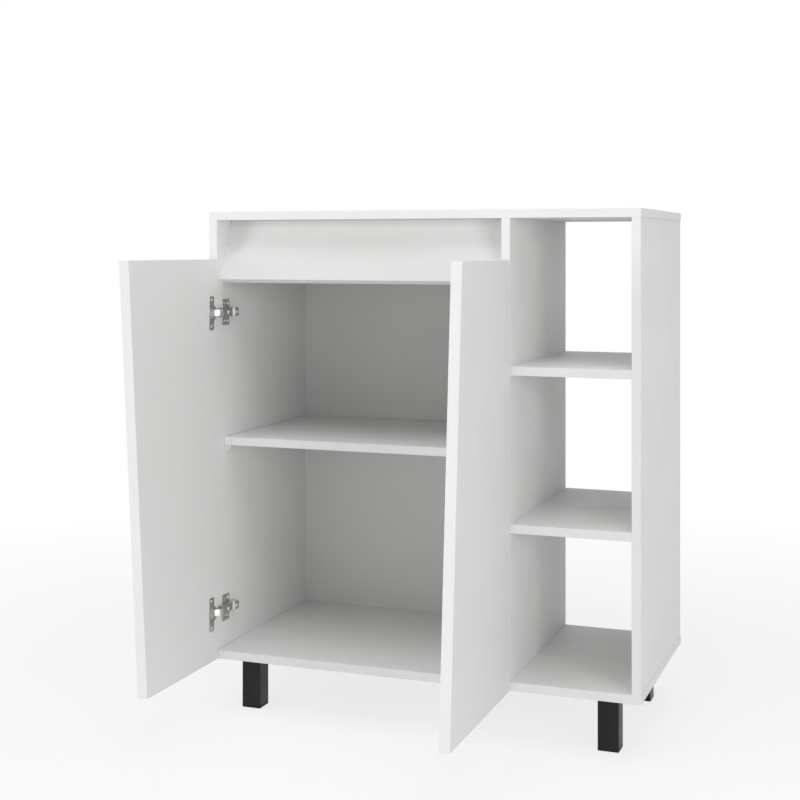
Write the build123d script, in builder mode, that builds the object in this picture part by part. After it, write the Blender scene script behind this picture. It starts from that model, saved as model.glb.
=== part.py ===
from build123d import *
import os
from dataclasses import dataclass
from math import hypot, sqrt

# A kitchen pantry cabinet of white-faced boards. A compartment behind two doors fills the left part, an open
# column of three niches the right part. A board above the doors slopes forward and down, for a finger grip.
# Millimetres, +Z up, the front towards -Y. The doors are drawn standing open at a right angle, and the origin
# lies on the floor under the middle of the whole part as it stands so.

# Carcass
width = 790.0
depth = 394.0
carcass_height = 811.0
board = 15.0
side_inset = 1.0
niche_width = 206.0
edge_round = 0.6

# Left compartment
back_thickness = 3.0
back_inset = 2.0
shelf_drop = 412.0
shelf_setback = 30.0
shelf_side_gap = 0.8
shelf_back_gap = 2.0
fascia_top_setback = 60.0
fascia_bottom_setback = 9.0
fascia_drop = 107.5

# Doors
door_thickness = 18.0
door_drop = 86.0
left_door_top_width = 306.0
left_door_bottom_width = 247.0
meeting_gap = 3.0
door_reveal = 0.5
closed_gap = 2.5
hinge_edge_round = 1.5
swing_clearance = 0.3

# Legs
leg_height = 97.0
leg_size = 36.0
leg_side_inset = 46.0
leg_front_inset = 43.0
leg_rear_inset = 27.0
leg_wall = 3.0
leg_cap = 5.0
leg_corner = 1.5
foot_height = 4.0
foot_plug = 10.0
foot_clearance = 0.1

# Hinges
hinge_top_offset = 97.0
hinge_bottom_offset = 86.0
cup_diameter = 26.0
cup_edge = 2.5
cup_wall = 0.7
cup_clearance = 0.1
rim_overlap = 0.9
rim_thickness = 0.5
flange_edge = 13.5
flange_width = 18.0
flange_height = 61.0
flange_thickness = 1.2
flange_corner = 4.0
cup_screw_spacing = 48.0
pin_radius = 1.25
eye_radius = 2.3
ear_radius = 2.2
ear_thickness = 2.0
neck_width = 11.6
neck_rise = 1.9
neck_bend = 5.0
neck_back = 2.5
arm_gauge = 1.8
arm_width = 16.5
arm_flange = 1.2
arm_tail = 58.0
arm_standoff = 9.5
clip_front = 43.0
clip_rise = 4.0
plate_front = 18.6
plate_width = 27.4
plate_height = 48.0
plate_gauge = 2.0
plate_corner = 3.0
ridge_width = 12.0
ridge_tail = 54.0
plate_line = 40.6
plate_screw_spacing = 32.0
plate_slot_line = 28.7
plate_slot_length = 7.4
plate_slot_width = 3.1
clip_screw_line = 50.0
adjuster_line = 24.0

# Fasteners
fixing_inset = 101.0
fascia_fixing_inset = 36.0
dowel_pitch = 32.0
dowel_radius = 4.0
dowel_length = 30.0
cam_radius = 7.5
cam_distance = 24.0
cam_past = 2.0
cam_skin = 3.0
bolt_radius = 3.0
face_skin = 5.0
frame_screw_radius = 3.2
frame_screw_length = 50.0
frame_screw_head_radius = 5.0
frame_screw_head = 4.0
wood_screw_radius = 1.75
wood_screw_length = 11.5
screw_head_radius = 3.6
screw_head = 1.8
cup_screw_head = 0.8
machine_screw_radius = 2.0
leg_screw_spacing = 16.0
nail_radius = 0.8
nail_length = 18.0
nail_head_radius = 2.2
nail_head = 0.6
nail_pitch = 130.0
support_peg_radius = 2.5
support_peg_length = 8.0
support_reach = 9.0
support_drop = 12.0
support_width = 10.0
support_setback = 45.0
fit = 0.05
pin_fit = 0.04
end_room = 0.4

# Places of the carcass faces
x_side = width / 2 - side_inset
x_inner = x_side - board
x_divider_right = x_inner - niche_width
x_divider_left = x_divider_right - board
x_compartment = (x_divider_left - x_inner) / 2
compartment_width = x_divider_left + x_inner
z_base = leg_height
z_floor = z_base + board
z_top = z_base + carcass_height
z_ceiling = z_top - board
z_shelf_top = z_top - shelf_drop
z_shelf = z_shelf_top - board

# Doors hang outside the left panel and the divider. The pivot is set so that an open door's outer face is
# flush with the panel and the rounded hinge edge swings past the panel's front edge.
door_bottom = z_base
door_top = z_top - door_drop
door_height = door_top - door_bottom
door_pair = x_divider_right + x_side - 2 * door_reveal - meeting_gap
door_widths = {
    "left": (left_door_bottom_width, left_door_top_width),
    "right": (door_pair - left_door_bottom_width, door_pair - left_door_top_width),
}
pivot_span = door_thickness - door_reveal
corner_cut = (sqrt(2) - 1) * hinge_edge_round
swing_room = closed_gap + corner_cut - swing_clearance
pivot_depth = pivot_span + swing_room - sqrt(2 * swing_room * (pivot_span + swing_room))
pivot_edge = pivot_span - pivot_depth
pivot_in = door_reveal + pivot_edge
pivot_out = closed_gap + pivot_depth
open_gap = pivot_out - pivot_edge
hinge_heights = {"upper": door_top - hinge_top_offset, "lower": door_bottom + hinge_bottom_offset}

# Front and rear faces of the carcass, with as much of the part in front of the origin as behind it
front_reach = open_gap + max(door_widths["left"] + door_widths["right"])
rear_reach = back_thickness + nail_head
y_front = (front_reach - depth - rear_reach) / 2
y_back = y_front + depth

# The sloped board: its front face runs from the ceiling down to an edge just behind the doors
fascia_run = fascia_top_setback - fascia_bottom_setback
fascia_length = hypot(fascia_run, fascia_drop)
fascia_plane = Plane(
    origin=(x_compartment, y_front + fascia_top_setback, z_ceiling),
    x_dir=(1, 0, 0),
    z_dir=(0, -fascia_drop, fascia_run),
)

# Hinge sizes that follow from the door, the panel and the pivot
cup_radius = cup_diameter / 2
cup_inner_depth = pivot_depth + eye_radius + swing_clearance
cup_depth = cup_inner_depth + cup_wall
cup_middle = open_gap + cup_edge + cup_radius
flange_middle = open_gap + flange_edge + flange_width / 2
arm_face = board + arm_standoff
arm_top = arm_face + arm_gauge
arm_foot = board + plate_gauge + swing_clearance
clip_top = arm_top + clip_rise
clip_screw_reach = clip_top - board
ear_inner = neck_width / 2 + swing_clearance
ear_outer = ear_inner + ear_thickness

# Middles of the legs
leg_x = width / 2 - leg_side_inset - leg_size / 2
leg_front_y = y_front + leg_front_inset + leg_size / 2
leg_rear_y = y_back - leg_rear_inset - leg_size / 2
leg_places = {
    "front_left_leg": (-leg_x, leg_front_y),
    "front_right_leg": (leg_x, leg_front_y),
    "rear_left_leg": (-leg_x, leg_rear_y),
    "rear_right_leg": (leg_x, leg_rear_y),
}
leg_bore = leg_size - 2 * leg_wall

# Middles of the uprights and niche shelves, and the rows of fixings from front to back
face_depth = board - face_skin
cam_depth = board - cam_skin
cam_rows = (y_front + fixing_inset, y_back - fixing_inset)
dowel_rows = (cam_rows[0] + dowel_pitch, cam_rows[1] - dowel_pitch)
up = Vector(0, 0, 1)
right = Vector(1, 0, 0)
back = Vector(0, 1, 0)
upright_middles = {
    "left_side_panel": -x_side + board / 2,
    "divider_panel": x_divider_left + board / 2,
    "right_side_panel": x_side - board / 2,
}
niche_height = (z_ceiling - z_floor - 2 * board) / 3
niche_pitch = niche_height + board
niche_shelf_middles = {
    "niche_shelf_lower": z_floor + niche_pitch - board / 2,
    "niche_shelf_upper": z_floor + 2 * niche_pitch - board / 2,
}


@dataclass(frozen=True)
class HingeSide:
    """An upright that carries a door: its outer face, and the way into the compartment along X."""

    name: str
    outer_x: float
    inward: int

    def plan(self, height):
        """A level plane: x into the compartment from the outer face, y forward from the front edge."""
        return Plane(
            origin=(self.outer_x, y_front, height), x_dir=(self.inward, 0, 0), z_dir=(0, 0, -self.inward)
        )

    def upright(self, inset, height):
        """A plane beside the outer face: x forward from the front edge, y up from the height."""
        return Plane(
            origin=(self.outer_x + self.inward * inset, y_front, height), x_dir=(0, -1, 0), z_dir=(-1, 0, 0)
        )

    def point(self, inset, forward, height):
        """A point from its inset behind the outer face and its distance in front of the front edge."""
        return Vector(self.outer_x + self.inward * inset, y_front - forward, height)

    def into(self):
        """The way into the compartment."""
        return Vector(self.inward, 0, 0)


left_hinges = HingeSide("left", -x_side, 1)
right_hinges = HingeSide("right", x_divider_right, -1)
hinge_sides = (left_hinges, right_hinges)


@dataclass(frozen=True)
class Joint:
    """A board's end against another board's face, held by cams and dowels."""

    end_board: str
    face_board: str
    along: Vector
    cam_side: Vector
    cams: tuple
    dowels: tuple

    def bolt_starts(self):
        """Where the cam bolts end, just past the middle of their cams."""
        return [point - self.along * (cam_distance + cam_past) for point in self.cams]

    def cam_seats(self):
        """Middles of the cams on the face that holds them."""
        return [point - self.along * cam_distance + self.cam_side * (board / 2) for point in self.cams]

    def dowel_starts(self):
        """Ends of the dowels inside the end board."""
        return [point - self.along * (dowel_length - face_depth) for point in self.dowels]


def rows_at(x, z, rows):
    """Points at one place of the front view, one for each row from front to back."""
    return tuple(Vector(x, y, z) for y in rows)


def fascia_point(x_local, drop):
    """A point in the middle of the sloped board's thickness, at a distance down its slope."""
    return Vector(fascia_plane.from_local_coords((x_local, -drop, -board / 2)))


def list_joints():
    """Every joint between two boards, with the places of its fixings."""
    joints = []
    for name, x in upright_middles.items():
        cam_side = right if name == "left_side_panel" else -right
        cams = rows_at(x, z_ceiling, cam_rows)
        joints.append(Joint(name, "top_board", up, cam_side, cams, rows_at(x, z_ceiling, dowel_rows)))
        joints.append(Joint(name, "bottom_board", -up, cam_side, (), rows_at(x, z_floor, dowel_rows)))
    for name, z in niche_shelf_middles.items():
        for face_board, along, x in (
            ("divider_panel", -right, x_divider_right),
            ("right_side_panel", right, x_inner),
        ):
            joints.append(
                Joint(name, face_board, along, -up, rows_at(x, z, cam_rows), rows_at(x, z, dowel_rows))
            )
    for face_board, along in (("left_side_panel", -right), ("divider_panel", right)):
        x_end = along.X * compartment_width / 2
        cams = (fascia_point(x_end, fascia_length - fascia_fixing_inset),)
        dowels = (fascia_point(x_end, fascia_fixing_inset),)
        joints.append(Joint("sloped_fascia", face_board, along, -fascia_plane.z_dir, cams, dowels))
    return joints


def spread(low, high, pitch):
    """Evenly spaced values from low to high, no further apart than the pitch."""
    gaps = int((high - low) // pitch) + 1
    return [low + (high - low) * index / gaps for index in range(gaps + 1)]


def nail_heads(columns, rows):
    """Where nail heads sit on the back panel's rear face."""
    return [Vector(x, y_back + back_thickness, z) for x in columns for z in rows]


def flat_list(groups):
    """The members of several groups in one list."""
    return [member for group in groups for member in group]


board_joints = list_joints()
frame_screw_points = {name: rows_at(x, z_base, cam_rows) for name, x in upright_middles.items()}
all_frame_screw_points = flat_list(frame_screw_points.values())
nail_columns = spread(upright_middles["left_side_panel"], upright_middles["divider_panel"], nail_pitch)
nail_rows = spread(z_base + board / 2, z_top - board / 2, nail_pitch)
nail_points = {
    "bottom_board": nail_heads(nail_columns, nail_rows[:1]),
    "top_board": nail_heads(nail_columns, nail_rows[-1:]),
    "left_side_panel": nail_heads(nail_columns[:1], nail_rows[1:-1]),
    "divider_panel": nail_heads(nail_columns[-1:], nail_rows[1:-1]),
}
all_nail_points = flat_list(nail_points.values())


def save(builder, name):
    """Label a finished piece and write it to its file."""
    builder.part.label = name
    export_step(builder.part, f"parts/{name}.step")


def rods(points, direction, radius, length, mode=Mode.ADD):
    """Round rods that start at the points and run along the direction, added to the current part."""
    if points:
        with Locations([Plane(origin=point, z_dir=direction) for point in points]):
            Cylinder(radius, length, align=(Align.CENTER, Align.CENTER, Align.MIN), mode=mode)


def bores(points, direction, radius, length):
    """Round holes that start at the points and run along the direction, cut from the current part."""
    rods(points, direction, radius, length, Mode.SUBTRACT)


def slab(low, high, rounding):
    """A board between two opposite corners, with its edges eased."""
    size = Vector(high) - Vector(low)
    with Locations((Vector(low) + Vector(high)) / 2):
        Box(size.X, size.Y, size.Z)
    fillet(edges(), rounding)


def drill(board_name):
    """Cut the holes of a board's cams, bolts, dowels, long screws and nails."""
    for joint in board_joints:
        if joint.end_board == board_name:
            bores(joint.dowel_starts(), joint.along, dowel_radius + fit, dowel_length)
            bores(joint.bolt_starts(), joint.along, bolt_radius + fit, cam_distance + cam_past)
            bores(joint.cam_seats(), -joint.cam_side, cam_radius + fit, cam_depth)
        if joint.face_board == board_name:
            bores(joint.dowels, joint.along, dowel_radius + fit, face_depth + end_room)
            bores(joint.cams, joint.along, bolt_radius + fit, face_depth + end_room)
    bores(frame_screw_points.get(board_name), up, frame_screw_radius + fit, frame_screw_length + end_room)
    bores(nail_points.get(board_name), -back, nail_radius + fit, nail_length + end_room)


def screws(points, direction, radius, length, head=screw_head):
    """Screws whose heads sit on the points and whose shanks run along the direction."""
    rods(points, direction, radius, length)
    rods(points, -direction, screw_head_radius, head)


def both_ways(spacing):
    """Offsets of half a spacing down and up."""
    return (-spacing / 2, spacing / 2)


def plate_screw_points(side, height):
    """Where a mounting plate's screws enter the upright's inner face."""
    return [side.point(board, -plate_line, height + offset) for offset in both_ways(plate_screw_spacing)]


def cup_screw_points(side, height):
    """Where a hinge cup's screws enter the open door's inner face."""
    offsets = both_ways(cup_screw_spacing)
    return [side.point(door_thickness, flange_middle, height + offset) for offset in offsets]


def adjuster_point(side, height):
    """Where an arm's adjusting screw sits on its outer face."""
    return side.point(arm_top, -adjuster_line, height)


def clip_screw_point(side, height):
    """Where the screw through an arm's raised clip sits on its outer face."""
    return side.point(clip_top, -clip_screw_line, height)


def pin_start(side, height):
    """Lower end of a hinge pin."""
    return side.point(pivot_in, pivot_out, height - ear_outer)


def leg_screw_points(x, y):
    """Undersides of a leg's top wall where its screws' heads sit."""
    offsets = both_ways(leg_screw_spacing)
    return [Vector(x + dx, y + dy, z_base - leg_cap) for dx in offsets for dy in offsets]


def support_points(x):
    """Where the shelf supports' pegs enter an upright's face."""
    peg_height = z_shelf - support_drop / 2
    return rows_at(x, peg_height, (y_front + support_setback, y_back - support_setback))


os.makedirs("parts", exist_ok=True)

# Top and bottom boards, over and under the uprights
with BuildPart() as top_board:
    slab((-width / 2, y_front, z_ceiling), (width / 2, y_back, z_top), edge_round)
    drill("top_board")
save(top_board, "top_board")

with BuildPart() as bottom_board:
    slab((-width / 2, y_front, z_base), (width / 2, y_back, z_floor), edge_round)
    drill("bottom_board")
    with Locations([Plane(origin=point, z_dir=-up) for point in all_frame_screw_points]):
        CounterBoreHole(
            frame_screw_radius + fit, frame_screw_head_radius + fit, frame_screw_head + fit, board
        )
    for x, y in leg_places.values():
        bores(leg_screw_points(x, y), up, wood_screw_radius + fit, leg_cap + wood_screw_length + end_room)
save(bottom_board, "bottom_board")

# Uprights
with BuildPart() as left_side_panel:
    slab((-x_side, y_front, z_floor), (-x_inner, y_back, z_ceiling), edge_round)
    drill("left_side_panel")
    for height in hinge_heights.values():
        screw_points = plate_screw_points(left_hinges, height)
        bores(screw_points, -right, wood_screw_radius + fit, wood_screw_length + end_room)
    bores(support_points(-x_inner), -right, support_peg_radius + fit, support_peg_length + end_room)
save(left_side_panel, "left_side_panel")

with BuildPart() as divider_panel:
    slab((x_divider_left, y_front, z_floor), (x_divider_right, y_back, z_ceiling), edge_round)
    drill("divider_panel")
    for height in hinge_heights.values():
        screw_points = plate_screw_points(right_hinges, height)
        bores(screw_points, right, wood_screw_radius + fit, wood_screw_length + end_room)
    bores(support_points(x_divider_left), right, support_peg_radius + fit, support_peg_length + end_room)
save(divider_panel, "divider_panel")

with BuildPart() as right_side_panel:
    slab((x_inner, y_front, z_floor), (x_side, y_back, z_ceiling), edge_round)
    drill("right_side_panel")
save(right_side_panel, "right_side_panel")

# Shelves of the open column
for name, z in niche_shelf_middles.items():
    with BuildPart() as niche_shelf:
        slab((x_divider_right, y_front, z - board / 2), (x_inner, y_back, z + board / 2), edge_round)
        drill(name)
    save(niche_shelf, name)

# Sloped board of the finger grip, square-cut at both long edges
with BuildPart() as sloped_fascia:
    with BuildSketch(fascia_plane):
        with Locations((0, -fascia_length / 2)):
            Rectangle(compartment_width, fascia_length)
    extrude(amount=-board)
    fillet(sloped_fascia.edges().filter_by(Axis.X), edge_round)
    drill("sloped_fascia")
save(sloped_fascia, "sloped_fascia")

# Back panel, nailed to the rear edges of the boards round the left compartment
with BuildPart() as back_panel:
    slab(
        (-x_side + back_inset, y_back, z_base + back_inset),
        (x_divider_right - back_inset, y_back + back_thickness, z_top - back_inset),
        edge_round,
    )
    bores(all_nail_points, -back, nail_radius + fit, nail_length)
save(back_panel, "back_panel")

# Shelf of the left compartment and the supports it rests on
with BuildPart() as adjustable_shelf:
    slab(
        (-x_inner + shelf_side_gap, y_front + shelf_setback, z_shelf),
        (x_divider_left - shelf_side_gap, y_back - shelf_back_gap, z_shelf_top),
        edge_round,
    )
save(adjustable_shelf, "adjustable_shelf")

with BuildPart() as shelf_supports:
    for face_x, inward in ((-x_inner, 1), (x_divider_left, -1)):
        for point in support_points(face_x):
            corner = Vector(face_x, point.Y, z_shelf)
            with BuildSketch(Plane(origin=corner, x_dir=(inward, 0, 0), z_dir=(0, -inward, 0))):
                with BuildLine():
                    Polyline((0, -support_drop), (0, 0), (support_reach, 0))
                    EllipticalCenterArc((0, 0), support_reach, support_drop, start_angle=-90, arc_size=90)
                make_face()
            extrude(amount=support_width / 2, both=True)
        rods(support_points(face_x), right * -inward, support_peg_radius, support_peg_length)
save(shelf_supports, "shelf_supports")

# Doors, open: the left one is wider at the top, the right one at the bottom
for side in hinge_sides:
    bottom_width, top_width = door_widths[side.name]
    with BuildPart() as door:
        with BuildSketch(side.upright(0, door_bottom)):
            with BuildLine():
                Polyline(
                    (open_gap, 0),
                    (open_gap + bottom_width, 0),
                    (open_gap + top_width, door_height),
                    (open_gap, door_height),
                    close=True,
                )
            make_face()
        extrude(amount=-side.inward * door_thickness)
        fillet(door.edges().filter_by(Axis.Z).group_by(Axis.Y)[-1], hinge_edge_round)
        ends = door.faces().group_by(Axis.Z)[0] + door.faces().group_by(Axis.Z)[-1]
        free_edge = door.faces().group_by(Axis.Y)[0]
        fillet((ends + free_edge).edges(), edge_round)
        for height in hinge_heights.values():
            cup_seat = side.point(door_thickness, cup_middle, height)
            bores([cup_seat], -side.into(), cup_radius + cup_clearance, cup_depth + cup_clearance)
            screw_points = cup_screw_points(side, height)
            bores(screw_points, -side.into(), wood_screw_radius + fit, wood_screw_length + end_room)
    save(door, f"{side.name}_door")


# Concealed hinges. A cup sits in the door with a pin across it, and the arm's eye turns on that pin.
def build_cup(side, height):
    """Cup with its rim, its screwed flange and the two ears that hold the pin."""
    face = side.upright(door_thickness, height)
    with BuildPart() as cup:
        with BuildSketch(face):
            with Locations((cup_middle, 0)):
                Circle(cup_radius)
        extrude(amount=side.inward * cup_depth)
        with BuildSketch(face):
            with Locations((cup_middle, 0)):
                Circle(cup_radius + rim_overlap)
        extrude(amount=-side.inward * rim_thickness)
        with BuildSketch(face):
            with Locations((flange_middle, 0)):
                RectangleRounded(flange_width, flange_height, flange_corner)
        extrude(amount=-side.inward * flange_thickness)
        mouth = side.point(door_thickness + flange_thickness, cup_middle, height)
        bores([mouth], -side.into(), cup_radius - cup_wall, flange_thickness + cup_inner_depth)
        ear_foot = door_thickness - cup_depth
        for offset in (ear_inner + ear_thickness / 2, -ear_inner - ear_thickness / 2):
            with BuildSketch(side.plan(height + offset)):
                with Locations((pivot_in, pivot_out)):
                    Circle(ear_radius)
                with Locations(((ear_foot + pivot_in) / 2, pivot_out)):
                    Rectangle(pivot_in - ear_foot, 2 * ear_radius)
            extrude(amount=ear_thickness / 2, both=True)
        bores([pin_start(side, height)], up, pin_radius + pin_fit, 2 * ear_outer)
        screw_seats = [point + side.into() * flange_thickness for point in cup_screw_points(side, height)]
        bores(screw_seats, -side.into(), wood_screw_radius + fit, flange_thickness)
    return cup


def build_pin(side, height):
    """Pin that the arm's eye turns on."""
    with BuildPart() as pin:
        rods([pin_start(side, height)], up, pin_radius, 2 * ear_outer)
    return pin


def build_arm(side, height):
    """Bent arm: an eye and a narrow neck inside the cup, then a channel with a raised clip at its tail."""
    bend = side.point(arm_top, pivot_out + neck_rise, height)
    with BuildPart() as arm:
        with BuildSketch(side.plan(height)):
            with BuildLine():
                Polyline(
                    (pivot_in, pivot_out - arm_gauge / 2),
                    (arm_face, pivot_out + neck_rise - arm_gauge),
                    (arm_face, -neck_back),
                    (arm_top, -neck_back),
                    (arm_top, pivot_out + neck_rise),
                    (pivot_in, pivot_out + arm_gauge / 2),
                    close=True,
                )
            make_face()
            with Locations((pivot_in, pivot_out)):
                Circle(eye_radius)
        extrude(amount=neck_width / 2, both=True)
        fillet(arm.edges().filter_by(Axis.Z).sort_by_distance(bend)[0], neck_bend)
        with BuildSketch(side.plan(height)):
            with BuildLine():
                Polyline(
                    (arm_foot, -neck_back),
                    (arm_top, -neck_back),
                    (arm_top, -clip_front),
                    (clip_top, -clip_front),
                    (clip_top, -arm_tail),
                    (arm_foot, -arm_tail),
                    close=True,
                )
            make_face()
        extrude(amount=arm_width / 2, both=True)
        with BuildSketch(side.plan(height)):
            with BuildLine():
                Polyline(
                    (arm_foot, -neck_back),
                    (arm_face, -neck_back),
                    (arm_face, -clip_front - arm_gauge),
                    (clip_top - arm_gauge, -clip_front - arm_gauge),
                    (clip_top - arm_gauge, -arm_tail),
                    (arm_foot, -arm_tail),
                    close=True,
                )
            make_face()
        extrude(amount=arm_width / 2 - arm_flange, both=True, mode=Mode.SUBTRACT)
        bores([pin_start(side, height)], up, pin_radius + pin_fit, 2 * ear_outer)
        screw_seats = [adjuster_point(side, height), clip_screw_point(side, height)]
        bores(screw_seats, -side.into(), machine_screw_radius + fit, arm_gauge)
    return arm


def build_plate(side, height):
    """Mounting plate with two drilled and slotted ears and a ridge that carries the arm."""
    face = side.upright(board, height)
    with BuildPart() as plate:
        with BuildSketch(face):
            with Locations((-plate_front - plate_width / 2, 0)):
                RectangleRounded(plate_width, plate_height, plate_corner)
        extrude(amount=-side.inward * plate_gauge)
        with BuildSketch(face):
            with Locations((-(plate_front + ridge_tail) / 2, 0)):
                Rectangle(ridge_tail - plate_front, ridge_width)
        extrude(amount=-side.inward * arm_standoff)
        plate_holes = [point + side.into() * plate_gauge for point in plate_screw_points(side, height)]
        bores(plate_holes, -side.into(), wood_screw_radius + fit, plate_gauge)
        with BuildSketch(face):
            with Locations([(-plate_slot_line, offset) for offset in both_ways(plate_screw_spacing)]):
                SlotOverall(plate_slot_length, plate_slot_width)
        extrude(amount=-side.inward * plate_gauge, mode=Mode.SUBTRACT)
        threads = [adjuster_point(side, height), clip_screw_point(side, height)]
        bores(threads, -side.into(), machine_screw_radius + fit, clip_screw_reach)
    return plate


for side in hinge_sides:
    for level, height in hinge_heights.items():
        place = f"{side.name}_{level}"
        save(build_cup(side, height), f"{place}_hinge_cup")
        save(build_pin(side, height), f"{place}_hinge_pin")
        save(build_arm(side, height), f"{place}_hinge_arm")
        save(build_plate(side, height), f"{place}_hinge_plate")

    with BuildPart() as cup_screws:
        for height in hinge_heights.values():
            seats = [point + side.into() * flange_thickness for point in cup_screw_points(side, height)]
            shank = wood_screw_length + flange_thickness
            screws(seats, -side.into(), wood_screw_radius, shank, cup_screw_head)
    save(cup_screws, f"{side.name}_cup_screws")

with BuildPart() as plate_screws:
    for side in hinge_sides:
        for height in hinge_heights.values():
            seats = [point + side.into() * plate_gauge for point in plate_screw_points(side, height)]
            screws(seats, -side.into(), wood_screw_radius, wood_screw_length + plate_gauge)
save(plate_screws, "plate_screws")

with BuildPart() as arm_screws:
    for side in hinge_sides:
        for height in hinge_heights.values():
            adjuster = [adjuster_point(side, height)]
            screws(adjuster, -side.into(), machine_screw_radius, arm_gauge + arm_standoff)
            clip_screw = [clip_screw_point(side, height)]
            screws(clip_screw, -side.into(), machine_screw_radius, clip_screw_reach)
save(arm_screws, "arm_screws")

# Legs: square tubes screwed up into the bottom board from inside, each closed by a foot cap
for name, (x, y) in leg_places.items():
    with BuildPart() as leg:
        with BuildSketch(Plane.XY.offset(foot_height)):
            with Locations((x, y)):
                RectangleRounded(leg_size, leg_size, leg_corner)
        extrude(amount=z_base - foot_height)
        with BuildSketch(Plane.XY.offset(foot_height)):
            with Locations((x, y)):
                Rectangle(leg_bore, leg_bore)
        extrude(amount=z_base - leg_cap - foot_height, mode=Mode.SUBTRACT)
        bores(leg_screw_points(x, y), up, wood_screw_radius + fit, leg_cap)
    save(leg, name)

with BuildPart() as foot_caps:
    with BuildSketch():
        with Locations(list(leg_places.values())):
            RectangleRounded(leg_size, leg_size, leg_corner)
    extrude(amount=foot_height)
    with BuildSketch(Plane.XY.offset(foot_height)):
        with Locations(list(leg_places.values())):
            Rectangle(leg_bore - 2 * foot_clearance, leg_bore - 2 * foot_clearance)
    extrude(amount=foot_plug)
save(foot_caps, "foot_caps")

with BuildPart() as leg_screws:
    for x, y in leg_places.values():
        screws(leg_screw_points(x, y), up, wood_screw_radius, leg_cap + wood_screw_length)
save(leg_screws, "leg_screws")

# Fasteners between the boards
with BuildPart() as wood_dowels:
    for joint in board_joints:
        rods(joint.dowel_starts(), joint.along, dowel_radius, dowel_length)
save(wood_dowels, "wood_dowels")

with BuildPart() as cam_bolts:
    for joint in board_joints:
        rods(joint.bolt_starts(), joint.along, bolt_radius, cam_distance + cam_past + face_depth)
save(cam_bolts, "cam_bolts")

with BuildPart() as cam_discs:
    for joint in board_joints:
        rods(joint.cam_seats(), -joint.cam_side, cam_radius, cam_depth)
        bores(joint.bolt_starts(), joint.along, bolt_radius + fit, cam_distance + cam_past)
save(cam_discs, "cam_discs")

with BuildPart() as frame_screws:
    rods(all_frame_screw_points, up, frame_screw_head_radius, frame_screw_head)
    rods(all_frame_screw_points, up, frame_screw_radius, frame_screw_length)
save(frame_screws, "frame_screws")

with BuildPart() as back_panel_nails:
    rods(all_nail_points, -back, nail_radius, nail_length)
    rods(all_nail_points, back, nail_head_radius, nail_head)
save(back_panel_nails, "back_panel_nails")
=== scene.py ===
"""White kitchen pantry cabinet: finishes, hinges, fasteners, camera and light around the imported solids."""
import logging
import math
from collections import defaultdict
from collections.abc import Iterable, Sequence
from dataclasses import dataclass
from enum import Enum
from typing import ClassVar

import bmesh
import bpy
from bpy.types import ID, GeometryNodeTree, Material, Mesh, Node, NodeSocket, NodeTree, Object
from mathutils import Matrix, Vector
from mathutils.geometry import convex_hull_2d


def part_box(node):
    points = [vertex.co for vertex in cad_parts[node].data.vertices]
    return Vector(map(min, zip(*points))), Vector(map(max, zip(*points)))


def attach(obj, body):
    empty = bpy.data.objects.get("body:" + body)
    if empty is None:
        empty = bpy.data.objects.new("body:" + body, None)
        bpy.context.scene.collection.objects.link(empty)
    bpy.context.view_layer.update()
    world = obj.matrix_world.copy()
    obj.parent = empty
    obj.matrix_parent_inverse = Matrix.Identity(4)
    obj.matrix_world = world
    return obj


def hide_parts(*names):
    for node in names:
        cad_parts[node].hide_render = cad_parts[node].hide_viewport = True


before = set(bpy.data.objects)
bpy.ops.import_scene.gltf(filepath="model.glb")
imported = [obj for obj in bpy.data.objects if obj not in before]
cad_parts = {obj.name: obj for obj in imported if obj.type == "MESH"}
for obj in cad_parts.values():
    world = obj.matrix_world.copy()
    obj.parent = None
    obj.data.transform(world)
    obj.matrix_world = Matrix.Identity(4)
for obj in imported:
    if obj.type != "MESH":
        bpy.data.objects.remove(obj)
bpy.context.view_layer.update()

LOG = logging.getLogger("pantry_cabinet")
MM = 0.001
MERGE = 0.001 * MM
# Tolerances of mesh readings. SKEW lies in no broad face.
# Cams left of LEFT_PANEL_X are in the left panel.
LEVEL_PLAY = 0.02 * MM
WIDTH_PLAY = 0.1 * MM
SAME_WAY = 0.999
SKEW = Vector((0.6, 0.5, 0.7))
LEFT_PANEL_X = -0.3
WHITE = (1.0, 1.0, 1.0, 1.0)
Colour = tuple[float, float, float]
Spot = tuple[float, float, float]
Flat = tuple[float, float]
Values = dict[str | int, object]


class Body(Enum):
    """Bodies of the cabinet that move against each other."""

    CARCASS = "carcass"
    LEFT_DOOR = "left_door"
    RIGHT_DOOR = "right_door"


class Slot(Enum):
    """Material slots listed for the new pieces; nothing in the script reads them."""

    NICKEL_STEEL = "nickel_steel"
    ZINC_STEEL = "zinc_steel"


class Drive(Enum):
    """Recess in a fastener's head."""

    CROSS = "cross"
    HEXAGON = "hexagon"
    PLAIN = "plain"


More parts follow.
